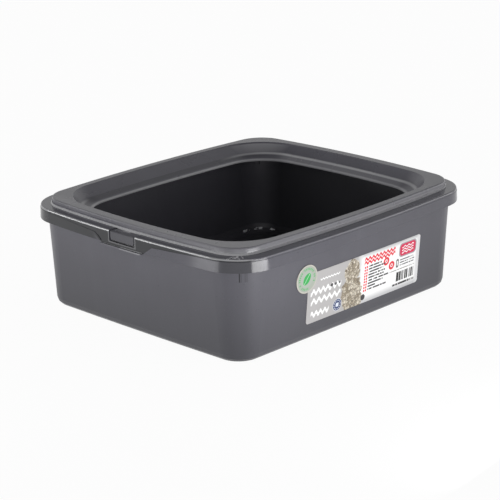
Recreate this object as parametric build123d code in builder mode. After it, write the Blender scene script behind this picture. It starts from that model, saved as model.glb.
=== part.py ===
from build123d import *
import math
import os

# A cat litter tray: a deep tapered tub with a broad ledge and hanging skirt, and a rim frame
# that sits on the ledge, narrows the mouth and lifts straight off.
# Millimetres. The tray stands on z = 0 with its long sides along X; everything is symmetric
# about the XZ and YZ planes except the paper label and the round sticker on the -Y wall.

# ---------------------------------------------------------------- overall
rim_length = 400.0
rim_width = 351.4
rim_corner = 48.6
end_bow = 9.4
side_bow = 8.1
rim_height = 120.0

# ---------------------------------------------------------------- tub
wall_end_inset = 8.7
wall_side_inset = 10.3
wall_corner = 41.5
wall_end_bow = 6.1
wall_side_bow = 4.4
wall_end_taper = 10.55
wall_side_taper = 11.0
wall_courses = 4
foot_steps = 3
floor_corner = 28.0
floor_end_bow = 1.6
floor_side_bow = 0.6
wall_thickness = 2.2
floor_thickness = 2.4
foot_rounding = 9.0
floor_rounding = 11.0
foot_rise = 1.5
foot_width = 20.0
mouth_inset = 3.4
haunch = 4.0

# ---------------------------------------------------------------- ledge and skirt
ledge_thickness = 2.6
skirt_thickness = 2.4
rim_edge_height = 3.0
band_height = 12.0
band_step = 0.4
band_flare = 0.5
band_softening = 0.3
rim_rounding = 1.6

# ---------------------------------------------------------------- finger grips
grip_half = 33.0
grip_drop = 3.6
shoulder_width = 14.0
shoulder_height = 9.8
sweep_slope = 0.05
sweep_half = 150.0
lip_height = 2.2
lip_reach = 2.4
lip_half = 27.0
lip_spread = 13.0

# ---------------------------------------------------------------- snap seats
notch_width = 40.4
notch_depth = 12.4
notch_rounding = 3.0
channel_clearance = 0.3
seat_boss_margin = 4.0
seat_floor = 2.0

# ---------------------------------------------------------------- corner fins
fin_thickness = 1.8
fin_spacing = 6.0
fin_offset = 1.0
fin_reach = 5.0
fin_proud = 0.2
fin_height = 13.0

# ---------------------------------------------------------------- rim frame
frame_inset = 11.8
frame_side_extra = 1.6
frame_corner = 35.0
frame_rise = 7.8
frame_wall = 2.0
frame_plate = 2.0
frame_draft = 0.4
frame_crown_rounding = 1.6
bead_height = 2.0
bead_reach = 0.9
bead_softening = 0.6
brow_end_inset = 13.1
brow_side_inset = 9.8
brow_corner = 60.0
brow_rounding = 1.2
crease_end_inset = 18.95
crease_side_inset = 21.55
crease_corner = 47.8
crease_drop = 10.5
crease_end_bow = 9.2
crease_side_bow = 5.5
crease_blend = 0.12
opening_end_inset = 29.6
opening_side_inset = 29.4
opening_corner = 51.2
opening_drop = 17.0
funnel_wall = 2.2
lip_thickness = 2.0
lip_edge_rounding = 0.8

# ---------------------------------------------------------------- frame ribs and snap tongues
rib_thickness = 1.6
rib_depth = 9.0
mouth_clearance = 0.6
long_side_ribs = 5
short_side_ribs = 3
rib_pitch = 52.0
tongue_width = 36.8
tongue_thickness = 1.8
tongue_recess = 0.7
tongue_set_back = 0.4
tongue_gap = 1.2
tongue_rounding = 4.0
tongue_softening = 0.7

# ---------------------------------------------------------------- paper label and sticker
label_length = 190.0
label_height = 58.5
label_centre_x = 15.0
label_centre_z = 49.7
label_corner = 3.5
paper = 0.3
glue_gap = 0.1
sticker_diameter = 32.0
sticker_overhang = 3.0
sticker_drop = 4.45

# ---------------------------------------------------------------- levels
ledge_underside = rim_height - ledge_thickness
band_top = rim_height - rim_edge_height
skirt_bottom = band_top - band_height
grip_bottom = skirt_bottom - grip_drop
lip_top = grip_bottom + lip_height
shoulder_top = lip_top + shoulder_height
notch_bottom = rim_height - notch_depth
seat_level = rim_height - tongue_recess - tongue_thickness - channel_clearance
frame_top = rim_height + frame_rise
plate_level = frame_top - frame_plate
crease_level = frame_top - crease_drop
opening_level = frame_top - opening_drop
cavity_floor = foot_rise + floor_thickness
haunch_level = ledge_underside - haunch
sticker_centre_x = label_centre_x - label_length / 2 - sticker_overhang
sticker_centre_z = label_centre_z + label_height / 2 - sticker_drop
tall = rim_height + 60
far = rim_length


# Plans are tuples: half length, half width, corner radius, bow of the ends, bow of the sides.
def grow(plan, amount):
    # A plan moved outwards by amount all round (inwards when negative)
    half_x, half_y, corner, bow_x, bow_y = plan
    return (half_x + amount, half_y + amount, corner + amount, bow_x, bow_y)


def mix(plan, other, share):
    # A plan part of the way from one to another
    return tuple(a + (b - a) * share for a, b in zip(plan, other))


def outline(plan):
    # Rounded rectangle whose four sides bow outwards a little
    half_x, half_y, corner, bow_x, bow_y = plan
    tip_x = half_x - bow_x
    tip_y = half_y - bow_y
    with BuildSketch() as shape:
        with BuildLine():
            ThreePointArc((tip_x, -tip_y), (half_x, 0), (tip_x, tip_y))
            ThreePointArc((tip_x, tip_y), (0, half_y), (-tip_x, tip_y))
            ThreePointArc((-tip_x, tip_y), (-half_x, 0), (-tip_x, -tip_y))
            ThreePointArc((-tip_x, -tip_y), (0, -half_y), (tip_x, -tip_y))
        make_face()
        fillet(shape.vertices(), corner)
    return shape.sketch


def stack(*sections):
    # Solid whose wall runs straight from each (plan, level) section to the next
    with BuildPart() as body:
        for plan, level in sections:
            with BuildSketch(Plane.XY.offset(level)):
                add(outline(plan))
        loft(ruled=True)
    return body.part


def rounded_top(plan, level, radius, steps):
    # Sections that round a solid's upper edge over to the given level
    sections = []
    for step in range(steps + 1):
        turn = math.radians(90 * step / steps)
        inset = radius * (1 - math.cos(turn))
        sections.append((grow(plan, -inset), level - radius * (1 - math.sin(turn))))
    return sections


def tapered(lower_plan, lower_level, upper_plan, upper_level, radius):
    # Sections of a tapered wall with a rounded lower edge, and courses up to its upper end
    height = upper_level - lower_level
    sections = []
    for step in range(foot_steps + 1):
        turn = math.radians(90 * step / foot_steps)
        rise = radius * (1 - math.cos(turn))
        inset = radius * (1 - math.sin(turn))
        sections.append((grow(mix(lower_plan, upper_plan, rise / height), -inset), lower_level + rise))
    for course in range(1, wall_courses + 1):
        rise = radius + (height - radius) * course / wall_courses
        sections.append((mix(lower_plan, upper_plan, rise / height), lower_level + rise))
    return sections


def hoop(outer_plan, inner_plan, level, height):
    # Upright ring between two plans
    with BuildPart() as body:
        with BuildSketch(Plane.XY.offset(level)):
            add(outline(outer_plan))
            add(outline(inner_plan), mode=Mode.SUBTRACT)
        extrude(amount=height)
    return body.part


def inset(plan, end_inset, side_inset, corner, bow_x, bow_y):
    # A plan set in from another at its ends and sides, with its own corners and bows
    return (plan[0] - end_inset, plan[1] - side_inset, corner, bow_x, bow_y)


rim_plan = (rim_length / 2, rim_width / 2, rim_corner, end_bow, side_bow)
wall_plan = inset(rim_plan, wall_end_inset, wall_side_inset, wall_corner, wall_end_bow, wall_side_bow)
floor_plan = inset(
    wall_plan, wall_end_taper, wall_side_taper, floor_corner, floor_end_bow, floor_side_bow
)
frame_plan = inset(
    rim_plan, frame_inset, frame_inset + frame_side_extra, frame_corner, end_bow, side_bow
)
frame_foot_plan = grow(frame_plan, frame_draft)
brow_plan = inset(frame_plan, brow_end_inset, brow_side_inset, brow_corner, end_bow, side_bow)
crease_plan = inset(
    frame_plan, crease_end_inset, crease_side_inset, crease_corner, crease_end_bow, crease_side_bow
)
opening_plan = inset(
    frame_plan, opening_end_inset, opening_side_inset, opening_corner, crease_end_bow, crease_side_bow
)
mouth_plan = grow(frame_plan, -mouth_inset)
skirt_inner = grow(rim_plan, -skirt_thickness)

# ================================================================ tray
tub = stack(*tapered(floor_plan, 0, wall_plan, ledge_underside, foot_rounding))
cavity_foot = grow(mix(floor_plan, wall_plan, cavity_floor / ledge_underside), -wall_thickness)
cavity_head = grow(mix(floor_plan, wall_plan, haunch_level / ledge_underside), -wall_thickness)
cavity = stack(
    *tapered(cavity_foot, cavity_floor, cavity_head, haunch_level, floor_rounding),
    (mouth_plan, ledge_underside),
    (mouth_plan, rim_height),
)
apron = hoop(rim_plan, skirt_inner, grip_bottom, band_top - grip_bottom)
lip_ring = hoop(grow(rim_plan, lip_reach), skirt_inner, grip_bottom, lip_height)

# Ledge and skirt: a shallow cap with a rounded brim, hollow underneath
with BuildPart() as rim_cap:
    add(stack((rim_plan, skirt_bottom), *rounded_top(rim_plan, rim_height, rim_rounding, 3)))
    with BuildSketch(Plane.XY.offset(skirt_bottom)):
        add(outline(skirt_inner))
    extrude(amount=ledge_underside - skirt_bottom, mode=Mode.SUBTRACT)

# Band that runs round the skirt below the rim's edge, a little prouder and flared downwards
band_head = grow(rim_plan, band_step)
band_foot = grow(rim_plan, band_step + band_flare)
with BuildPart() as lower_band:
    add(stack((band_foot, grip_bottom), *rounded_top(band_head, band_top, band_softening, 1)))
    with BuildSketch(Plane.XY.offset(grip_bottom)):
        add(outline(skirt_inner))
    extrude(amount=band_top - grip_bottom, mode=Mode.SUBTRACT)

# Outline of the grip apron hanging below the skirt, seen from the end
with BuildPart() as apron_zone:
    with BuildSketch(Plane.YZ):
        with BuildLine():
            Polyline(
                (-lip_half - lip_spread, skirt_bottom),
                (-lip_half, grip_bottom),
                (lip_half, grip_bottom),
                (lip_half + lip_spread, skirt_bottom),
                (lip_half + lip_spread, ledge_underside),
                (-lip_half - lip_spread, ledge_underside),
                close=True,
            )
        make_face()
    extrude(amount=far, both=True)

# Everything of the lower band that stays: all round above the skirt's edge
with BuildPart() as band_zone:
    with BuildSketch(Plane.XY.offset(skirt_bottom)):
        Rectangle(2 * far, 2 * far)
    extrude(amount=band_top - skirt_bottom)

# Window in the band that bares each grip: steep shoulders that sweep out along the end
with BuildPart() as grip_window:
    with BuildSketch(Plane.YZ):
        with BuildLine() as half_window:
            Spline(
                (grip_half, lip_top),
                (grip_half + shoulder_width / 4, lip_top + shoulder_height / 2),
                (grip_half + shoulder_width, shoulder_top),
                tangents=((0.15, 1), (1, sweep_slope)),
            )
            Polyline(
                (grip_half + shoulder_width, shoulder_top),
                (sweep_half, shoulder_top + sweep_slope * (sweep_half - grip_half - shoulder_width)),
                (sweep_half, rim_height),
                (0, rim_height),
            )
            Polyline((grip_half, lip_top), (0, lip_top))
            mirror(half_window.line, about=Plane.YZ)
        make_face()
    extrude(amount=far, both=True)

# Width of the out-turned lip at the foot of each grip
with BuildPart() as lip_zone:
    with BuildSketch(Plane.YZ):
        with BuildLine():
            Polyline(
                (-grip_half, lip_top),
                (-lip_half, grip_bottom),
                (lip_half, grip_bottom),
                (grip_half, lip_top),
                close=True,
            )
        make_face()
    extrude(amount=far, both=True)

# Notch through the skirt at each end, and the channel across the ledge behind it
with BuildPart() as notch:
    with BuildSketch(Plane.YZ):
        with Locations((0, rim_height)):
            RectangleRounded(notch_width, 2 * notch_depth, notch_rounding)
    extrude(amount=far, both=True)
    with BuildSketch(Plane.XY):
        add(outline(grow(rim_plan, -skirt_thickness - 0.01)))
    extrude(amount=tall, mode=Mode.SUBTRACT)
with BuildPart() as channel:
    with BuildSketch(Plane.XY.offset(seat_level)):
        Rectangle(2 * far, notch_width)
        add(outline(grow(frame_plan, -mouth_inset / 2)), mode=Mode.SUBTRACT)
    extrude(amount=rim_height - seat_level + 5)

# Thickening under the ledge that carries each channel
with BuildPart() as seat_boss:
    with BuildSketch(Plane.XY.offset(seat_level - seat_floor)):
        Rectangle(2 * far, notch_width + 2 * seat_boss_margin)
    extrude(amount=rim_height - ledge_thickness / 2 - seat_level + seat_floor)
    with BuildSketch(Plane.XY):
        add(outline(grow(rim_plan, -skirt_thickness / 2)))
    extrude(amount=tall, mode=Mode.INTERSECT)

# Fins near each corner: they fill out to the skirt under it and run shallow down the tub below
corner_x = wall_plan[0] - wall_end_bow - wall_corner
corner_y = wall_plan[1] - wall_side_bow - wall_corner
fin_root = wall_corner - 4
fin_far = wall_corner + fin_reach
fin_edge = wall_corner + fin_proud
fin_foot = skirt_bottom - fin_height
with BuildPart() as fins:
    for side_x in (-1, 1):
        for side_y in (-1, 1):
            for row in (0, 1):
                outward = Vector(side_x, side_y, 0).normalized()
                across = Vector(-side_x, side_y, 0).normalized() * (fin_offset + row * fin_spacing)
                origin = Vector(side_x * corner_x, side_y * corner_y, 0) + across
                with BuildSketch(Plane(origin, outward, outward.cross(Vector(0, 0, 1)))):
                    with BuildLine():
                        Polyline(
                            (fin_root, fin_foot),
                            (fin_edge, fin_foot),
                            (fin_edge, skirt_bottom),
                            (fin_far, skirt_bottom + fin_reach),
                            (fin_far, ledge_underside + 0.5),
                            (fin_root, ledge_underside + 0.5),
                            close=True,
                        )
                    make_face()
                extrude(amount=fin_thickness / 2, both=True)

with BuildPart() as apron_skin:
    add(apron)
    add(apron_zone.part, mode=Mode.INTERSECT)

with BuildPart() as band_skin:
    add(lower_band.part)
    add(band_zone.part, mode=Mode.INTERSECT)
    add(grip_window.part, mode=Mode.SUBTRACT)

with BuildPart() as lips:
    add(lip_ring)
    add(lip_zone.part, mode=Mode.INTERSECT)

with BuildPart() as tray:
    add(tub)
    with BuildSketch(Plane.XY):
        add(outline(grow(floor_plan, -foot_width)))
    extrude(amount=foot_rise, mode=Mode.SUBTRACT)
    add(rim_cap.part)
    add(seat_boss.part)
    add(fins.part)
    add(cavity, mode=Mode.SUBTRACT)
    add(apron_skin.part)
    add(band_skin.part)
    add(lips.part)
    add(notch.part, mode=Mode.SUBTRACT)
    add(channel.part, mode=Mode.SUBTRACT)
tray.part.label = "tray"

# ================================================================ rim frame
block = stack((frame_foot_plan, rim_height), *rounded_top(frame_plan, frame_top, frame_crown_rounding, 2))
hollow_foot = grow(frame_foot_plan, -frame_wall)
hollow_head = grow(frame_plan, -frame_wall)
hollow = stack((hollow_foot, rim_height), (hollow_head, plate_level))

# The funnel inside the mouth: a sloping shelf that turns up into a steep wall
funnel_bottom = opening_level - lip_thickness
shelf_end = mix(opening_plan, crease_plan, 1 - crease_blend)
shelf_end_level = opening_level + (crease_level - opening_level) * (1 - crease_blend)
steep_start = mix(crease_plan, brow_plan, crease_blend)
steep_start_level = crease_level + (frame_top - crease_level) * crease_blend
bend = mix(mix(shelf_end, steep_start, 0.5), crease_plan, 0.5)
bend_level = (shelf_end_level + steep_start_level) / 4 + crease_level / 2
brow_edge = mix(brow_plan, crease_plan, brow_rounding / crease_drop)
funnel_void = stack(
    (opening_plan, funnel_bottom),
    (opening_plan, opening_level - lip_edge_rounding),
    (grow(opening_plan, lip_edge_rounding), opening_level),
    (shelf_end, shelf_end_level),
    (bend, bend_level),
    (steep_start, steep_start_level),
    (brow_edge, frame_top - brow_rounding),
    (grow(brow_edge, brow_rounding / 3), frame_top - brow_rounding / 3),
    (grow(brow_edge, brow_rounding), frame_top),
)
funnel_plug = stack(
    (grow(opening_plan, 0.4), funnel_bottom),
    (grow(shelf_end, 0.6), shelf_end_level - lip_thickness),
    (grow(steep_start, funnel_wall), steep_start_level - lip_thickness * 0.4),
    (grow(brow_plan, funnel_wall), plate_level + frame_plate / 2),
)

# Foot bead that rests on the ledge
bead_plan = grow(frame_foot_plan, bead_reach)
with BuildPart() as bead:
    add(stack((bead_plan, rim_height), *rounded_top(bead_plan, rim_height + bead_height, bead_softening, 1)))
    with BuildSketch(Plane.XY.offset(rim_height)):
        add(outline(hollow_foot))
    extrude(amount=bead_height, mode=Mode.SUBTRACT)

# Stiffening ribs under the frame; their ends locate the frame inside the mouth
rib_bottom = rim_height - rib_depth
rib_reach = grow(mouth_plan, -mouth_clearance)
with BuildPart() as ribs:
    with BuildSketch(Plane.XY.offset(rib_bottom)):
        for row in range(long_side_ribs):
            with Locations(((row - (long_side_ribs - 1) / 2) * rib_pitch, 0)):
                Rectangle(rib_thickness, 2 * far)
        for row in range(short_side_ribs):
            with Locations((0, (row - (short_side_ribs - 1) / 2) * rib_pitch)):
                Rectangle(2 * far, rib_thickness)
    extrude(amount=frame_top - frame_plate / 2 - rib_bottom)
    with BuildSketch(Plane.XY.offset(rib_bottom)):
        add(outline(rib_reach))
    extrude(amount=frame_top - rib_bottom, mode=Mode.INTERSECT)
    add(funnel_plug, mode=Mode.SUBTRACT)
    add(funnel_void, mode=Mode.SUBTRACT)
rib_bodies = [piece for piece in ribs.part.solids() if piece.bounding_box().max.Z > rim_height]

# Snap tongue at each end: a strap lying in the ledge channel, bent down into the notch
strap_top = rim_height - tongue_recess
tongue_face = grow(rim_plan, -tongue_set_back)
tongue_back = grow(tongue_face, -tongue_thickness)
tongue_bottom = notch_bottom + tongue_gap
tongue_height = strap_top - tongue_bottom
with BuildPart() as strap:
    with BuildSketch(Plane.XY.offset(strap_top - tongue_thickness)):
        Rectangle(2 * far, tongue_width)
    extrude(amount=tongue_thickness)
    with BuildSketch(Plane.XY.offset(strap_top - tongue_thickness)):
        add(outline(grow(tongue_face, -tongue_thickness / 2)))
        add(outline(hollow_foot), mode=Mode.SUBTRACT)
    extrude(amount=tongue_thickness, mode=Mode.INTERSECT)
tongue_tip = (grow(tongue_face, -tongue_softening), tongue_bottom)
tongue_side = (tongue_face, tongue_bottom + tongue_softening)
with BuildPart() as tongue_ring:
    add(stack(tongue_tip, tongue_side, *rounded_top(tongue_face, strap_top, tongue_softening, 1)))
    with BuildSketch(Plane.XY.offset(tongue_bottom)):
        add(outline(tongue_back))
    extrude(amount=tongue_height, mode=Mode.SUBTRACT)
with BuildPart() as tongue:
    with BuildSketch(Plane.YZ):
        with Locations((0, strap_top)):
            RectangleRounded(tongue_width, 2 * tongue_height, tongue_rounding)
    extrude(amount=far, both=True)
    add(tongue_ring.part, mode=Mode.INTERSECT)
# Root that joins each strap to the frame's outer wall
root_height = tongue_thickness + tongue_recess + bead_height / 2
with BuildPart() as strap_root:
    with BuildSketch(Plane.XY.offset(strap_top - tongue_thickness)):
        Rectangle(2 * far, tongue_width)
    extrude(amount=root_height)
    with BuildSketch(Plane.XY.offset(strap_top - tongue_thickness)):
        add(outline(grow(frame_foot_plan, bead_reach / 2)))
        add(outline(hollow_foot), mode=Mode.SUBTRACT)
    extrude(amount=root_height, mode=Mode.INTERSECT)

with BuildPart() as rim_frame:
    add(block)
    add(hollow, mode=Mode.SUBTRACT)
    add(funnel_plug)
    add(funnel_void, mode=Mode.SUBTRACT)
    add(bead.part)
    add(rib_bodies)
    add(strap.part)
    add(tongue.part)
    add(strap_root.part)
rim_frame.part.label = "rim_frame"


# ================================================================ label and sticker
# Thin skins on the tub's outside, each a glue line away from what it is stuck to
def skin(inner, outer):
    # Shell that follows the tub's outer wall between two distances from it
    with BuildPart() as body:
        add(stack((grow(floor_plan, outer), 0), (grow(wall_plan, outer), ledge_underside)))
        add(
            stack((grow(floor_plan, inner), 0), (grow(wall_plan, inner), ledge_underside)),
            mode=Mode.SUBTRACT,
        )
    return body.part


with BuildPart() as front_label:
    with BuildSketch(Plane.XZ):
        with Locations((label_centre_x, label_centre_z)):
            RectangleRounded(label_length, label_height, label_corner)
    extrude(amount=rim_width)
    add(skin(glue_gap, glue_gap + paper), mode=Mode.INTERSECT)
front_label.part.label = "front_label"

# Room the sticker leaves for the label beneath it
with BuildPart() as under_sticker:
    with BuildSketch(Plane.XZ):
        with Locations((label_centre_x, label_centre_z)):
            RectangleRounded(label_length + 2 * glue_gap, label_height + 2 * glue_gap, label_corner)
    extrude(amount=rim_width)
    add(skin(0, 2 * glue_gap + paper), mode=Mode.INTERSECT)
with BuildPart() as round_sticker:
    with BuildSketch(Plane.XZ):
        with Locations((sticker_centre_x, sticker_centre_z)):
            Circle(sticker_diameter / 2)
    extrude(amount=rim_width)
    add(skin(glue_gap, 2 * (glue_gap + paper)), mode=Mode.INTERSECT)
    add(under_sticker.part, mode=Mode.SUBTRACT)
round_sticker.part.label = "round_sticker"

os.makedirs("parts", exist_ok=True)
export_step(tray.part, "parts/tray.step")
export_step(rim_frame.part, "parts/rim_frame.step")
export_step(front_label.part, "parts/front_label.step")
export_step(round_sticker.part, "parts/round_sticker.step")
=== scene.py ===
import math
import bpy
from mathutils import Matrix, Vector

# A litter tray with a lift-off rim frame in dark grey recycled plastic, with a printed paper
# label and a round sticker on its long front wall. The front wall faces -Y, the ends -X and +X.
# All sizes are in metres, except that printing is laid out in millimetres.

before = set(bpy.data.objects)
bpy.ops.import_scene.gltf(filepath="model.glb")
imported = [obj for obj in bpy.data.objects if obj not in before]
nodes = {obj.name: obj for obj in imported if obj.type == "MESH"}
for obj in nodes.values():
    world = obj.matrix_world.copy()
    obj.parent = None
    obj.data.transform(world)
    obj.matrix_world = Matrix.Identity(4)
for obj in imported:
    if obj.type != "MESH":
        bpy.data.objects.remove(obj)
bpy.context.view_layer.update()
MM = 1000


# ------------------------------------------------------------------ material helpers
def ink(red, green, blue):
    # Scene-linear colour of a printed sRGB colour given from 0 to 255
    def linear(value):
        value = value / 255
        return value / 12.92 if value <= 0.04045 else ((value + 0.055) / 1.055) ** 2.4

    return (linear(red), linear(green), linear(blue), 1)


class Graph:
    """A node tree, with short calls for the sums it is made of. Masks run from 0 to 1."""

    def __init__(self, tree):
        self.tree = tree

    def find(self, kind):
        return next(n for n in self.tree.nodes if n.type == kind)

    def node(self, kind, **settings):
        made = self.tree.nodes.new(kind)
        for key, value in settings.items():
            setattr(made, key, value)
        return made

    def feed(self, socket, value):
        if isinstance(value, bpy.types.NodeSocket):
            self.tree.links.new(value, socket)
        else:
            socket.default_value = value

    def math(self, operation, *values):
        made = self.node("ShaderNodeMath", operation=operation)
        for socket, value in zip(made.inputs, values):
            self.feed(socket, value)
        return made.outputs[0]

    def chain(self, operation, values):
        made = values[0]
        for value in values[1:]:
            made = self.math(operation, made, value)
        return made

    def both(self, *masks):
        return self.chain("MULTIPLY", masks)

    def either(self, *masks):
        return self.chain("MAXIMUM", masks)

    def flip(self, mask):
        return self.math("SUBTRACT", 1.0, mask)

    def apart(self, value, centre):
        return self.math("ABSOLUTE", self.math("SUBTRACT", value, centre))

    def more(self, value, limit):
        return self.math("GREATER_THAN", value, limit)

    def less(self, value, limit):
        return self.math("LESS_THAN", value, limit)

    def band(self, value, low, high):
        return self.both(self.more(value, low), self.less(value, high))

    def span(self, value, low, high, to_low=0.0, to_high=1.0):
        # Runs from to_low at low to to_high at high, and stays level beyond them
        made = self.node("ShaderNodeMapRange")
        self.feed(made.inputs["Value"], value)
        self.feed(made.inputs["From Min"], low)
        self.feed(made.inputs["From Max"], high)
        self.feed(made.inputs["To Min"], to_low)
        self.feed(made.inputs["To Max"], to_high)
        return made.outputs["Result"]

    def mix(self, share, below, above):
        made = self.node("ShaderNodeMix", data_type="RGBA")
        self.feed(made.inputs[0], share)
        self.feed(made.inputs[6], below)
        self.feed(made.inputs[7], above)
        return made.outputs[2]

    def stretch(self, vector, x, y, z):
        made = self.node("ShaderNodeVectorMath", operation="MULTIPLY")
        self.feed(made.inputs[0], vector)
        made.inputs[1].default_value = (x, y, z)
        return made.outputs[0]

    def axes(self, vector):
        made = self.node("ShaderNodeSeparateXYZ")
        self.feed(made.inputs[0], vector)
        return made.outputs[0], made.outputs[1], made.outputs[2]

    def noise(self, vector, scale=1.0, detail=2.0, roughness=0.5):
        made = self.node("ShaderNodeTexNoise")
        made.inputs["Scale"].default_value = scale
        made.inputs["Detail"].default_value = detail
        made.inputs["Roughness"].default_value = roughness
        self.feed(made.inputs["Vector"], vector)
        return made.outputs["Fac"]

    def cells(self, vector, scale, feature="F1"):
        made = self.node("ShaderNodeTexVoronoi", feature=feature)
        made.inputs["Scale"].default_value = scale
        self.feed(made.inputs["Vector"], vector)
        return made.outputs


class Material(Graph):
    """A material that is built up by painting one colour over another."""

    def __init__(self, name):
        self.mat = bpy.data.materials.new(name)
        self.mat.use_nodes = True
        super().__init__(self.mat.node_tree)
        self.bsdf = self.find("BSDF_PRINCIPLED")
        self.output = self.find("OUTPUT_MATERIAL")
        self.place = self.node("ShaderNodeTexCoord").outputs["Object"]

    def paint(self, colour, *masks, share=1.0):
        self.colour = self.mix(self.both(share, *masks), self.colour, colour)

    def bump(self, height, distance, strength, under=None):
        made = self.node("ShaderNodeBump")
        made.inputs["Strength"].default_value = strength
        made.inputs["Distance"].default_value = distance
        self.feed(made.inputs["Height"], height)
        if under is not None:
            self.feed(made.inputs["Normal"], under)
        return made.outputs["Normal"]

    def finish(self, **sockets):
        for key, value in sockets.items():
            self.feed(self.bsdf.inputs[key.replace("_", " ")], value)
        return self.mat


def dress(obj, mat):
    obj.data.materials.clear()
    obj.data.materials.append(mat)


# ------------------------------------------------------------------ recycled plastic
DEEP_GREY = (0.0800, 0.0785, 0.0945, 1)
CLOUD_GREY = (0.0940, 0.0925, 0.1105, 1)
PALE_SPECK = (0.150, 0.150, 0.162, 1)
DARK_SPECK = (0.042, 0.042, 0.050, 1)
# Painted shade: a darker colour laid where shade falls
PAINTED_SHADE = (0.026, 0.027, 0.030, 1)
# Painted light: a paler colour laid where more light falls
PAINTED_LIGHT = (0.175, 0.173, 0.190, 1)
# Painted highlight: a pale colour laid where light catches an edge
PAINTED_HIGHLIGHT = (0.420, 0.420, 0.435, 1)
# Painted shadow line
FIN_SHADOW = (0.006, 0.006, 0.008, 1)
# Painted glint, also used for a scrape painted as a glint
SCRAPE_AND_GLINT = (0.90, 0.90, 0.92, 1)
PLASTIC_IOR = 1.47
SOFT_EDGE = 0.0004


class Plastic(Material):
    """Remelted plastic: clouded grey with specks and faint flow lines, polished in places."""

    def __init__(self, name):
        super().__init__(name)
        self.x, self.y, self.z = self.axes(self.place)
        self.x_and_y = self.math("ADD", self.x, self.y)
        self.cloud = self.noise(self.place, scale=11.0, detail=5.0)
        flow = self.noise(self.stretch(self.place, 55, 55, 5), detail=3.0)
        tone = self.span(self.math("MULTIPLY_ADD", flow, 0.5, self.cloud), 0.5, 1.0)
        self.colour = self.mix(tone, DEEP_GREY, CLOUD_GREY)
        # Specks where a fine noise is near its highest and lowest
        specks = self.noise(self.place, scale=620.0, detail=1.0)
        self.paint(PALE_SPECK, self.span(specks, 0.735, 0.76), share=0.55)
        self.paint(DARK_SPECK, self.span(specks, 0.275, 0.25), share=0.6)
        # Outside are the faces that look away from the middle, inside those that look towards it
        self.normal = self.node("ShaderNodeNewGeometry").outputs["Normal"]
        outward = self.node("ShaderNodeVectorMath", operation="DOT_PRODUCT")
        self.feed(outward.inputs[0], self.normal)
        self.feed(outward.inputs[1], self.stretch(self.place, 1, 1, 0))
        self.outside = self.more(outward.outputs["Value"], 0.0)
        self.inside = self.flip(self.outside)

    def above(self, level):
        return self.span(self.z, level - SOFT_EDGE, level + SOFT_EDGE)

    def below(self, level):
        return self.span(self.z, level + SOFT_EDGE, level - SOFT_EDGE)

    def surface(self, gloss, polished, grained):
        # polished is the roughness where gloss is 1, grained the roughness where it is 0
        scuff = self.noise(self.stretch(self.place, 40, 40, 160), detail=4.0, roughness=0.6)
        smooth = self.span(scuff, 0.35, 0.75, polished, polished + 0.07)
        rough = self.span(self.cloud, 0.3, 0.7, grained - 0.03, grained + 0.04)
        grain = self.both(self.noise(self.place, scale=1500.0), self.flip(gloss))
        warp = self.noise(self.place, scale=16.0, detail=1.0)
        normal = self.bump(warp, distance=0.0004, strength=0.25)
        return self.finish(
            Base_Color=self.colour,
            Roughness=self.span(gloss, 0.0, 1.0, rough, smooth),
            IOR=PLASTIC_IOR,
            Normal=self.bump(grain, distance=0.00004, strength=0.5, under=normal),
        )


# Heights and places on the tray; halves are measured from the middle of an end
TUB_SHADE_TOP = 0.085
END_SHADE_TOP = 0.10
FIN_FOOT = 0.0919
SKIRT_FOOT = 0.1045
TUB_TOP = 0.105
SKIRT_SHADE_TOP = 0.1175
BAND_TOP = 0.117
RIM_EDGE = (0.1180, 0.1203)
LEDGE = 0.1188
GRIP_HALF = 0.033
SHOULDER_END = GRIP_HALF + 0.014
SHOULDER_TOP = 0.1134
SWEEP_SLOPE = 0.05
LIP_TOP = 0.1036
LIP_HALF = 0.031
LIP_MIDDLE = 0.002
NEAR_LIP = (0.1022, 0.1046)
FAR_LIP = (0.1030, 0.1042)
NOTCH_HALF = 0.0202
NOTCH_FOOT = 0.1076
NOTCH_EDGE = 0.0014
NOTCH_SIDES = (NOTCH_FOOT - 0.0012, 0.1185)
CORNER_X = 0.1437
CORNER_Y = 0.1195
FIN_OFFSET = 0.001
FIN_SPACING = 0.006
FIN_HALF = 0.0009
FIN_LINE = 0.0006


def paint_skirt_shade(p, aside, end_face):
    # Painted shade: at each end the bare skirt is painted darker above the band's swept edge and
    # the grip, and down to its foot on the side towards the back
    shoulder = p.span(aside, GRIP_HALF, SHOULDER_END, LIP_TOP, SHOULDER_TOP)
    beyond = p.math("MAXIMUM", p.math("SUBTRACT", aside, SHOULDER_END), 0.0)
    edge = p.math("MINIMUM", p.math("MULTIPLY_ADD", beyond, SWEEP_SLOPE, shoulder), BAND_TOP)
    back_side = p.both(p.above(SKIRT_FOOT), p.span(p.y, GRIP_HALF, SHOULDER_END))
    p.paint(PAINTED_SHADE, p.either(p.more(p.z, edge), back_side), end_face)
    # Painted shade also darkens the skirt round the middle of the corner at -X and -Y
    turned = p.span(p.x_and_y, -0.327, -0.334)
    skirt = p.both(p.above(SKIRT_FOOT), p.below(SKIRT_SHADE_TOP), p.outside)
    p.paint(PAINTED_SHADE, skirt, turned, share=0.6)


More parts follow.
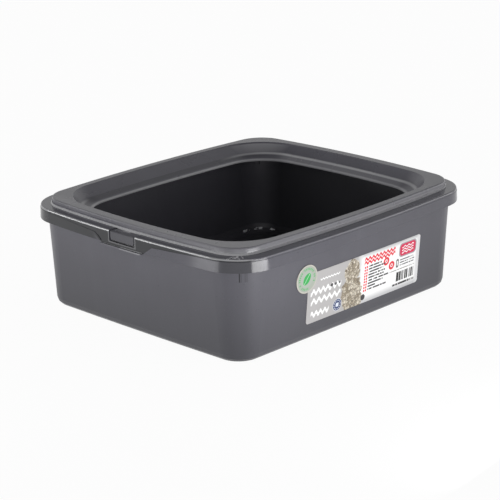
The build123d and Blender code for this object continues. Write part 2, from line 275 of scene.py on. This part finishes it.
def paint_edge_highlights(p, aside, end_face):
    # Painted highlights on the tongue's notch, the rim's edge and the out-turned lip of the grip
    beside_notch = p.band(aside, NOTCH_HALF, NOTCH_HALF + NOTCH_EDGE)
    p.paint(PAINTED_HIGHLIGHT, beside_notch, p.band(p.z, *NOTCH_SIDES), end_face, share=0.35)
    p.paint(PAINTED_HIGHLIGHT, p.band(p.z, *RIM_EDGE), end_face, share=0.6)
    sill = p.band(p.z, NOTCH_FOOT - NOTCH_EDGE, NOTCH_FOOT)
    p.paint(PAINTED_HIGHLIGHT, p.less(aside, NOTCH_HALF), sill, end_face, share=0.25)
    near_half = p.both(p.band(p.y, -LIP_HALF, LIP_MIDDLE), p.band(p.z, *NEAR_LIP))
    p.paint(PAINTED_HIGHLIGHT, near_half, p.outside, share=0.45)
    far_half = p.both(p.band(p.y, LIP_MIDDLE, LIP_HALF), p.band(p.z, *FAR_LIP))
    p.paint(PAINTED_HIGHLIGHT, far_half, p.outside, share=0.25)


def paint_fin_shadows(p, aside):
    # Painted shadow lines where the fins meet the tub, darkest at the edge nearest the corner's
    # middle; across is the distance from the upright plane that halves the corner
    turn = p.math("SUBTRACT", aside, p.math("ABSOLUTE", p.x))
    slant = math.sqrt(0.5)
    across = p.math("MULTIPLY_ADD", turn, slant, (CORNER_X - CORNER_Y) * slant)
    height = p.band(p.z, FIN_FOOT, SKIRT_FOOT)
    second = FIN_OFFSET + FIN_SPACING
    for edge, share in (
        (FIN_OFFSET - FIN_HALF, 1.0),
        (FIN_OFFSET + FIN_HALF, 0.3),
        (second - FIN_HALF, 0.3),
        (second + FIN_HALF, 0.3),
    ):
        line = p.math("COMPARE", across, edge, FIN_LINE)
        p.paint(FIN_SHADOW, line, height, share=share)


def paint_glints_and_scrape(p):
    # Painted glints low inside the corner at +X and +Y
    glints = p.more(p.noise(p.stretch(p.place, 1, 1, 3), scale=150.0), 0.56)
    low = p.both(p.band(p.x, 0.143, 0.176), p.more(p.y, 0.125), p.band(p.z, 0.0078, 0.0098))
    p.paint(SCRAPE_AND_GLINT, glints, low, p.inside)
    # and a fine scrape on the ledge at -X and -Y, painted near white as a glint
    scrape_glint = p.more(p.noise(p.place, scale=330.0), 0.57)
    ledge = p.both(p.band(p.x, -0.188, -0.172), p.band(p.y, -0.157, -0.145), p.above(LEDGE))
    p.paint(SCRAPE_AND_GLINT, scrape_glint, ledge, share=0.5)


def tray_plastic():
    p = Plastic("tray_plastic")
    aside = p.math("ABSOLUTE", p.y)
    facing_end = p.span(p.math("ABSOLUTE", p.axes(p.normal)[0]), 0.3, 0.6)
    end_face = p.both(facing_end, p.outside)
    paint_skirt_shade(p, aside, end_face)
    paint_edge_highlights(p, aside, end_face)
    paint_fin_shadows(p, aside)
    # Painted shade, darker towards the foot, more so at the ends
    p.paint(PAINTED_SHADE, p.span(p.z, TUB_SHADE_TOP, 0.0), share=0.42)
    p.paint(PAINTED_SHADE, end_face, p.span(p.z, END_SHADE_TOP, 0.0), share=0.30)
    # and painted shade inside the tub towards +X, but for the back corner
    far_wall = p.both(p.span(p.x, 0.10, 0.17), p.span(p.y, 0.15, 0.12), p.below(TUB_TOP))
    p.paint(PAINTED_SHADE, p.inside, far_wall, share=0.75)
    paint_glints_and_scrape(p)
    return p.surface(gloss=p.above(SKIRT_FOOT), polished=0.11, grained=0.40)


# Heights and places on the rim frame
LIP_LINE = (0.1120, 0.1110)
UNDER_CREASE = (0.1128, 0.1168)
CREASE = 0.1160
CREASE_LINE = (0.0013, 0.0004)
ABOVE_CREASE = 0.1172
BEAD = (0.1190, 0.1222)
POLISHED_TO = 0.1235
FRONT_RUBBED_TO = 0.1238
FUNNEL_TOP = 0.1262
CROWN_EDGE = 0.1268
TONGUE_FROM = 0.1965


def frame_plastic():
    p = Plastic("frame_plastic")
    # Painted light, paler towards the front on the crown's outer side, with a painted highlight
    # on the bead below it
    forward = p.span(p.y, 0.04, -0.10)
    p.paint(PAINTED_LIGHT, p.outside, p.below(CROWN_EDGE), forward, share=0.8)
    front = p.span(p.y, -0.10, -0.15)
    p.paint(PAINTED_HIGHLIGHT, p.outside, p.below(FRONT_RUBBED_TO), front, share=0.35)
    # and painted light on the crown's top along the end at -X and towards the corner at -X and -Y
    end = p.span(p.x, -0.160, -0.176, 0.0, 0.5)
    corner = p.span(p.x_and_y, -0.12, -0.25, 0.0, 0.7)
    p.paint(PAINTED_LIGHT, p.above(CROWN_EDGE), p.either(end, corner))
    # Painted highlight on the bead at -X, short of the tongue
    bead_end = p.both(p.span(p.x, -0.150, -0.172), p.more(p.x, -0.1915))
    p.paint(PAINTED_HIGHLIGHT, p.outside, p.band(p.z, *BEAD), bead_end)
    # Painted shade under the funnel's crease at the back
    back = p.span(p.y, 0.10, 0.14)
    p.paint(PAINTED_SHADE, p.inside, p.band(p.z, *UNDER_CREASE), back, share=0.45)
    # and a painted highlight above it in the corner at +X and +Y
    wall = p.both(p.above(ABOVE_CREASE), p.below(FUNNEL_TOP))
    far_corner = p.span(p.x_and_y, 0.262, 0.285)
    p.paint(PAINTED_HIGHLIGHT, p.inside, wall, far_corner, share=0.5)
    # Painted highlight along the crease at both ends
    crease = p.span(p.apart(p.z, CREASE), *CREASE_LINE)
    right_end = p.span(p.x, 0.09, 0.15, 0.0, 0.7)
    left_end = p.span(p.x, -0.125, -0.142, 0.0, 0.5)
    p.paint(PAINTED_HIGHLIGHT, p.inside, crease, p.either(right_end, left_end))
    # Painted highlight on the lip all round the opening, less so at +X
    lip_share = p.span(p.x, 0.18, 0.10, 0.35, 0.75)
    p.paint(PAINTED_HIGHLIGHT, p.inside, p.span(p.z, *LIP_LINE), lip_share)
    # Painted shade on the tongue's outer face
    tongue = p.more(p.math("ABSOLUTE", p.x), TONGUE_FROM)
    p.paint(PAINTED_SHADE, p.outside, tongue, share=0.4)
    return p.surface(gloss=p.both(p.outside, p.below(POLISHED_TO)), polished=0.12, grained=0.27)


dress(nodes["tray"], tray_plastic())
dress(nodes["rim_frame"], frame_plastic())


# ------------------------------------------------------------------ printing
PAPER_IOR = 1.45


class Printing(Material):
    """Flat printing in millimetres from the lower left corner of what it is printed on."""

    def __init__(self, name, obj, ground):
        super().__init__(name)
        x, _, z = self.axes(self.place)
        left, _, foot = obj.bound_box[0]
        self.x = self.math("MULTIPLY_ADD", x, MM, -left * MM)
        self.z = self.math("MULTIPLY_ADD", z, MM, -foot * MM)
        flat = self.node("ShaderNodeCombineXYZ")
        self.feed(flat.inputs[0], self.x)
        self.feed(flat.inputs[1], self.z)
        self.grid = flat.outputs[0]
        self.fibre = self.noise(self.grid, scale=3.0, detail=3.0)
        self.colour = ground

    def squares(self, across, upward):
        squared = (self.math("MULTIPLY", across, across), self.math("MULTIPLY", upward, upward))
        return self.math("ADD", *squared)

    def box(self, left, foot, right, head):
        return self.both(self.band(self.x, left, right), self.band(self.z, foot, head))

    def away(self, x, z, reach_x, reach_z):
        # Distance from a point, in shares of an ellipse's half axes
        across = self.math("DIVIDE", self.math("SUBTRACT", self.x, x), reach_x)
        upward = self.math("DIVIDE", self.math("SUBTRACT", self.z, z), reach_z)
        return self.math("SQRT", self.squares(across, upward))

    def disc(self, x, z, radius):
        return self.less(self.away(x, z, radius, radius), 1.0)

    def ring(self, x, z, inner, outer):
        return self.band(self.away(x, z, outer, outer), inner / outer, 1.0)

    def tag(self, x, z, half_x, half_z, corner):
        # Rounded rectangle
        def beyond(value, centre, half):
            past = self.math("SUBTRACT", self.apart(value, centre), half - corner)
            return self.math("MAXIMUM", past, 0.0)

        reach = self.squares(beyond(self.x, x, half_x), beyond(self.z, z, half_z))
        return self.less(reach, corner * corner)

    def wave(self, left, right, level, swing, pitch, thick):
        # Wavy band round a level line
        swung = self.math("SINE", self.math("MULTIPLY", self.x, 2 * math.pi / pitch))
        off = self.apart(self.z, self.math("MULTIPLY_ADD", swung, swing, level))
        return self.both(self.less(off, thick / 2), self.band(self.x, left, right))

    def steps(self, value, start, pitch):
        return self.math("DIVIDE", self.math("SUBTRACT", value, start), pitch)

    def row(self, value, start, pitch):
        # Number of the row that a value falls in
        return self.math("FLOOR", self.steps(value, start, pitch))

    def comb(self, value, start, pitch, thick):
        # Teeth of one thickness at a pitch
        return self.less(self.math("FRACT", self.steps(value, start, pitch)), thick / pitch)

    def turn(self, x, z):
        # Angle round a point
        upward = self.math("SUBTRACT", self.z, z)
        return self.math("ARCTAN2", upward, self.math("SUBTRACT", self.x, x))

    def chance(self, value, seed):
        made = self.node("ShaderNodeTexWhiteNoise", noise_dimensions="1D")
        self.feed(made.inputs["W"], self.math("ADD", value, seed))
        return made.outputs["Value"]

    def dashes(self, left, foot, rows, pitch, thick, shortest, longest, seed):
        # Rows of short strokes with gaps, each row with its own length
        stroke_pitch, strokes_in_row, gap_seed, gaps = 0.9, 31.0, 7, 0.14
        line = self.row(self.z, foot, pitch)
        end = self.span(self.chance(line, seed), 0.0, 1.0, left + shortest, left + longest)
        stroke = self.row(self.x, left, stroke_pitch)
        number = self.math("MULTIPLY_ADD", line, strokes_in_row, stroke)
        return self.both(
            self.band(self.z, foot, foot + rows * pitch),
            self.comb(self.z, foot, pitch, thick),
            self.more(self.x, left),
            self.less(self.x, end),
            self.more(self.chance(number, seed + gap_seed), gaps),
        )

    def paper(self, roughness, under=None):
        # Both papers have the same fine fibre; under is a larger relief below it
        fibre = self.bump(self.fibre, distance=0.00002, strength=0.35, under=under)
        sockets = {"Base_Color": self.colour, "Roughness": roughness, "Normal": fibre}
        return self.finish(IOR=PAPER_IOR, **sockets)


# The label's inks
WARM_GREY = ink(178, 176, 176)
COOL_GREY = ink(200, 200, 202)
EDGE_GREY = ink(226, 226, 228)
WHITE = ink(254, 254, 254)
PALE = ink(243, 243, 243)
RED = ink(226, 38, 58)
DARK = ink(58, 56, 58)
BLACK = ink(24, 24, 26)
SMALL_PRINT = ink(84, 84, 88)
NOTE_GREY = ink(130, 128, 124)
OVAL_GREY = ink(96, 96, 98)
ROPE_CORE = ink(252, 236, 238)
TAG_EDGE = ink(168, 168, 172)
TAG_RED = ink(214, 34, 82)
CLAY_DEEP = ink(142, 130, 110)
CLAY_PALE = ink(222, 214, 198)
CLAY_JOINT = ink(92, 80, 66)
BADGE_EDGE = ink(214, 216, 220)
BADGE_BLUE = ink(38, 56, 104)
BADGE_TICKS = ink(226, 230, 238)
BADGE_MIDDLE = ink(222, 228, 238)

# The label's layout. Pale waves: left, right, level, swing, pitch, thickness
WAVES = (
    (19.5, 51, 47.6, 0.7, 4.5, 1.5),
    (5, 54, 35.2, 2.1, 7.6, 4.3),
    (6, 54, 24.2, 2.1, 8.4, 4.3),
    (7, 36, 9.4, 1.9, 7.0, 4.3),
)
# Heap of clay: centre and half axes of the ovals that it is made of
HEAP = ((72, 18, 17, 21), (72, 43, 12.5, 14.5), (82, 8, 10, 10))
GRANULES = 0.27
# Dark spots: centre and radius
SPOTS = ((38.8, 36.5, 2.0), (45.2, 36.5, 1.7), (51.6, 36.5, 1.4))
HEAP_SPOT = (93.1, 7.0, 3.6)
# Centres of what is printed round a point
RINGS = ((130.6, 40.2), (140.6, 32.8))
TAG = (168.2, 46.8)
BADGE = (50.0, 10.1)
OVAL = (151.0, 32.5)
LIST_FOOT, LIST_HEAD, LIST_PITCH = 13.0, 44.0, 3.45
# Lines of strokes: left, foot, rows, pitch, thickness, shortest, longest, seed
LIST_LINES = (100.4, 13.5, 9, LIST_PITCH, 1.9, 13.0, 37.0, 3.0)
SMALL_LINES = (155.6, 28.3, 3, 3.1, 1.3, 22.0, 27.5, 9.0)
NOTE_LINE = (138.0, 24.0, 1, 2.4, 0.9, 44.0, 46.0, 12.0)
FOOT_LINE = (145.0, 5.5, 1, 3.0, 2.3, 38.0, 39.0, 21.0)
BAR_START, BAR_PITCH = 150.6, 0.62


def print_ground(p):
    # Right half white, fading to grey at the head and foot and to a paler grey at the right edge
    white_half = p.span(p.x, 80.0, 90.0)
    right_edge = p.span(p.x, 183.0, 189.0)
    foot = p.span(p.z, 9.0, 2.0)
    head = p.span(p.z, 52.5, 57.5)
    p.paint(WHITE, white_half)
    p.paint(COOL_GREY, p.either(right_edge, foot, head), white_half)
    p.paint(EDGE_GREY, right_edge)


def print_left_half(p):
    for wave in WAVES:
        p.paint(PALE, p.wave(*wave))
    for spot in SPOTS:
        p.paint(DARK, p.disc(*spot))
    # Heap of clay granules, over the middle
    joints = p.cells(p.grid, GRANULES, "DISTANCE_TO_EDGE")["Distance"]
    own_tone = p.axes(p.cells(p.grid, GRANULES)["Color"])[0]
    mottle = p.math("MULTIPLY", p.noise(p.grid, scale=0.9, detail=3.0), 0.5)
    clay = p.mix(p.span(p.math("ADD", own_tone, mottle), 0.3, 1.2), CLAY_DEEP, CLAY_PALE)
    clay = p.mix(p.span(joints, 0.12, 0.02, 0.0, 0.8), clay, CLAY_JOINT)
    wander = p.span(p.noise(p.grid, scale=0.12), 0.3, 0.7, -0.12, 0.12)
    heap = p.chain("MINIMUM", [p.away(*oval) for oval in HEAP])
    p.paint(clay, p.less(p.math("ADD", heap, wander), 1.0))
    p.paint(DARK, p.disc(*HEAP_SPOT))


def print_right_half(p):
    # Red rope at the head
    for thick, colour in ((7.2, RED), (1.8, ROPE_CORE)):
        p.paint(colour, p.wave(92, 145.5, level=49.4, swing=1.3, pitch=6.2, thick=thick))
    # Red tag with waves
    p.paint(TAG_EDGE, p.tag(*TAG, half_x=15.5, half_z=8.4, corner=5.0))
    p.paint(TAG_RED, p.tag(*TAG, half_x=14.0, half_z=7.0, corner=4.4))
    for level in (43.6, 46.8, 50.0):
        p.paint(WHITE, p.wave(158, 178.5, level, swing=0.9, pitch=7.0, thick=1.3))
    for ring in RINGS:
        p.paint(RED, p.ring(*ring, inner=2.2, outer=5.0))
        p.paint(RED, p.disc(*ring, radius=1.2))
    # List with red bullets
    column = p.box(93.0, LIST_FOOT, 98.6, LIST_HEAD)
    bullets = p.both(column, p.comb(p.z, LIST_FOOT, LIST_PITCH, thick=2.5))
    p.paint(RED, bullets)
    p.paint(WHITE, p.band(p.x, 95.2, 96.2), bullets)
    p.paint(DARK, p.dashes(*LIST_LINES))
    # Oval ring, small print, stripes and foot line
    p.paint(OVAL_GREY, p.tag(*OVAL, half_x=2.2, half_z=5.2, corner=2.0))
    p.paint(WHITE, p.tag(*OVAL, half_x=0.8, half_z=3.0, corner=0.8))
    p.paint(SMALL_PRINT, p.dashes(*SMALL_LINES))
    p.paint(NOTE_GREY, p.dashes(*NOTE_LINE))
    bars = p.more(p.chance(p.row(p.x, BAR_START, BAR_PITCH), seed=5.0), 0.30)
    p.paint(BLACK, p.box(150.8, 10.2, 181.3, 21.3), bars)
    p.paint(BLACK, p.dashes(*FOOT_LINE))


def print_badge(p):
    # Round blue badge with a ring of ticks and a plain middle
    p.paint(BADGE_EDGE, p.disc(*BADGE, radius=7.4))
    p.paint(BADGE_BLUE, p.disc(*BADGE, radius=6.7))
    ticks = p.comb(p.turn(*BADGE), 0.0, math.pi / 6, 0.26)
    p.paint(BADGE_TICKS, p.ring(*BADGE, inner=4.6, outer=5.6), ticks)
    p.paint(BADGE_MIDDLE, p.tag(*BADGE, half_x=2.3, half_z=2.3, corner=0.8))


def label_paper(obj):
    p = Printing("label_paper", obj, WARM_GREY)
    print_ground(p)
    print_left_half(p)
    print_right_half(p)
    print_badge(p)
    creases = p.noise(p.stretch(p.grid, 0.02, 0.06, 1), detail=3.0)
    return p.paper(
        roughness=p.span(p.fibre, 0.3, 0.7, 0.34, 0.44),
        under=p.bump(creases, distance=0.0006, strength=0.3),
    )


# The sticker's inks and layout, round its centre
STICKER_GROUND = ink(190, 187, 178)
STICKER_DISC = ink(164, 171, 160)
STICKER_MIDDLE = ink(168, 176, 167)
TICK_GREEN = ink(96, 170, 112)
LEAF_GREEN = ink(48, 164, 80)
VEIN = ink(190, 224, 194)
CENTRE = 16.0
TICK_STEP = 2 * math.pi / 30
LEAF_RADIUS = 9.0
LEAF_ASIDE, LEAF_DOWN = 3.4, 2.5
VEIN_RUN, VEIN_RISE, VEIN_HALF = 0.59, 0.81, 0.35


def sticker_paper(obj):
    p = Printing("sticker_paper", obj, STICKER_GROUND)
    p.paint(STICKER_DISC, p.disc(CENTRE, CENTRE, 14.6))
    turn = p.turn(CENTRE, CENTRE)
    ticks = p.both(
        p.comb(turn, 0.0, TICK_STEP, TICK_STEP * 0.62),
        p.more(p.chance(p.row(turn, 0.0, TICK_STEP), seed=2.0), 0.3),
    )
    p.paint(TICK_GREEN, p.ring(CENTRE, CENTRE, inner=10.4, outer=12.8), ticks)
    p.paint(STICKER_MIDDLE, p.disc(CENTRE, CENTRE, 9.2))
    # Leaf: the overlap of two discs, with a pale vein along it
    leaf = p.both(
        p.disc(CENTRE - LEAF_ASIDE, CENTRE + LEAF_DOWN, LEAF_RADIUS),
        p.disc(CENTRE + LEAF_ASIDE, CENTRE - LEAF_DOWN, LEAF_RADIUS),
    )
    p.paint(LEAF_GREEN, leaf)
    upward = p.math("MULTIPLY", p.math("SUBTRACT", p.z, CENTRE), VEIN_RUN)
    across = p.math("MULTIPLY", p.math("SUBTRACT", p.x, CENTRE), VEIN_RISE)
    p.paint(VEIN, leaf, p.less(p.apart(upward, across), VEIN_HALF))
    return p.paper(roughness=0.38)


dress(nodes["front_label"], label_paper(nodes["front_label"]))
dress(nodes["round_sticker"], sticker_paper(nodes["round_sticker"]))


# ------------------------------------------------------------------ floor, world and cards
FLOOR_SIZE = 12.0
FLOOR_COLOUR = (0.92, 0.92, 0.92, 1)
FLOOR_GLOW = 0.955
SKY_COLOUR = (1, 1, 1, 1)
SKY_LIGHT = 0.66


def seen_share(g):
    # 1 for rays that show the background itself or its mirror image, 0 for rays that light things
    path = g.node("ShaderNodeLightPath").outputs
    mirrored = g.math("ADD", path["Is Glossy Ray"], path["Is Transmission Ray"])
    return g.math("MINIMUM", g.math("ADD", path["Is Camera Ray"], mirrored), 1.0)


def sheet(name, width, length):
    # Flat rectangle round the origin
    w, h = width / 2, length / 2
    mesh = bpy.data.meshes.new(name)
    corners = [(-w, -h, 0), (w, -h, 0), (w, h, 0), (-w, h, 0)]
    mesh.from_pydata(corners, [], [(0, 1, 2, 3)])
    obj = bpy.data.objects.new(name, mesh)
    bpy.context.scene.collection.objects.link(obj)
    return obj


def studio_floor():
    # Matt where it lights the part and takes its shadow, and mostly an even pale glow where seen
    floor = sheet("floor", FLOOR_SIZE, FLOOR_SIZE)
    g = Material("floor")
    g.finish(Base_Color=FLOOR_COLOUR, Roughness=0.9)
    blend = g.node("ShaderNodeMixShader")
    g.feed(blend.inputs[0], g.math("MULTIPLY", seen_share(g), FLOOR_GLOW))
    g.feed(blend.inputs[1], g.bsdf.outputs[0])
    g.feed(blend.inputs[2], g.node("ShaderNodeEmission").outputs[0])
    g.feed(g.output.inputs["Surface"], blend.outputs[0])
    dress(floor, g.mat)


def studio_world():
    world = bpy.data.worlds.new("studio")
    world.use_nodes = True
    bpy.context.scene.world = world
    g = Graph(world.node_tree)
    sky = g.find("BACKGROUND")
    sky.inputs["Color"].default_value = SKY_COLOUR
    g.feed(sky.inputs["Strength"], g.span(seen_share(g), 0.0, 1.0, SKY_LIGHT, 1.0))


def aim(obj, place, target, front):
    # Turns the front axis towards a target; what it aims stays out of the picture
    obj.location = place
    towards = Vector(target) - Vector(place)
    obj.rotation_euler = towards.to_track_quat(front, "Y").to_euler()
    obj.visible_camera = False


def card(name, centre, towards, width, height, glow):
    # Evenly glowing grey card that the plastic mirrors instead of the open sky
    obj = sheet(name, width, height)
    aim(obj, centre, towards, "Z")
    g = Material(name)
    light = g.node("ShaderNodeEmission")
    light.inputs["Strength"].default_value = glow
    g.feed(g.output.inputs["Surface"], light.outputs[0])
    dress(obj, g.mat)


studio_floor()
studio_world()
card("ceiling_card", (0.0, 0.0, 2.4), (0, 0, 0), width=7.0, height=7.0, glow=0.25)
card("back_card", (2.3, 2.3, 1.3), (0, 0, 1.3), width=4.5, height=2.0, glow=0.72)

# ------------------------------------------------------------------ lamps
NEAR_CORNER = Vector((-0.163, -0.168, 0.111))
LEFT_END = Vector((-0.194, -0.130, 0.111))
MIDDLE = Vector((0, 0, 0.12))
# Each lamp: what it faces, azimuth and elevation in degrees, distance, width, height, radiance
LAMPS = {
    "corner_strip": (NEAR_CORNER, -83, -12, 0.33, 0.26, 0.07, 9.6),
    "end_strip": (LEFT_END, 158, -13, 0.36, 0.22, 0.06, 2.5),
    "back_left_box": (MIDDLE, 137, 3.5, 2.2, 1.4, 0.34, 8.5),
    "front_box": (MIDDLE, -50, 4.2, 2.2, 2.6, 0.50, 2.6),
    "camera_fill": (MIDDLE, -138, 3.0, 2.2, 1.0, 0.34, 8.0),
    "shelf_box": (MIDDLE, 92, 51, 1.9, 1.0, 0.5, 1.1),
    "slope_box": (MIDDLE, -18, 47, 1.9, 1.0, 1.0, 0.5),
}


def around(centre, azimuth, elevation, distance):
    a, e = math.radians(azimuth), math.radians(elevation)
    away = Vector((math.cos(a) * math.cos(e), math.sin(a) * math.cos(e), math.sin(e)))
    return centre + distance * away


def softbox(name, place, target, width, height, radiance):
    lamp = bpy.data.lights.new(name, "AREA")
    lamp.shape = "RECTANGLE"
    lamp.size = width
    lamp.size_y = height
    # A flat lamp gives off pi times its radiance from each square metre
    lamp.energy = radiance * math.pi * width * height
    obj = bpy.data.objects.new(name, lamp)
    aim(obj, place, target, "-Z")
    bpy.context.scene.collection.objects.link(obj)


for lamp_name, (faced, azimuth, elevation, distance, *face) in LAMPS.items():
    softbox(lamp_name, around(faced, azimuth, elevation, distance), faced, *face)

# ------------------------------------------------------------------ camera
SENSOR = 36.0
IMAGE = 500
FOCAL = 1783.053
PITCH, TURN, ROLL = map(math.radians, (17.952, -44.848, -1.280))
DISTANCE, SLIDE_RIGHT, SLIDE_UP = 2.078967, -0.047299, 0.055942
SHIFT_RIGHT, SHIFT_UP = 39.01, -5.757


def set_camera():
    # Solved from the photograph; the focal length and the shifts are in its pixels
    level = math.cos(PITCH)
    back = Vector((math.sin(TURN) * level, -math.cos(TURN) * level, math.sin(PITCH)))
    level_right = Vector((math.cos(TURN), math.sin(TURN), 0))
    level_up = back.cross(level_right)
    right = level_right * math.cos(ROLL) + level_up * math.sin(ROLL)
    up = level_up * math.cos(ROLL) - level_right * math.sin(ROLL)
    data = bpy.data.cameras.new("camera")
    data.sensor_fit = "HORIZONTAL"
    data.sensor_width = SENSOR
    data.lens = FOCAL / IMAGE * SENSOR
    data.shift_x = SHIFT_RIGHT / IMAGE
    data.shift_y = SHIFT_UP / IMAGE
    data.clip_end = 100
    camera = bpy.data.objects.new("camera", data)
    place = back * DISTANCE + right * SLIDE_RIGHT + up * SLIDE_UP
    turned = Matrix((right, up, back)).transposed().to_4x4()
    camera.matrix_world = Matrix.Translation(place) @ turned
    bpy.context.scene.collection.objects.link(camera)
    bpy.context.scene.camera = camera


set_camera()

bpy.context.scene.view_settings.view_transform = "Standard"
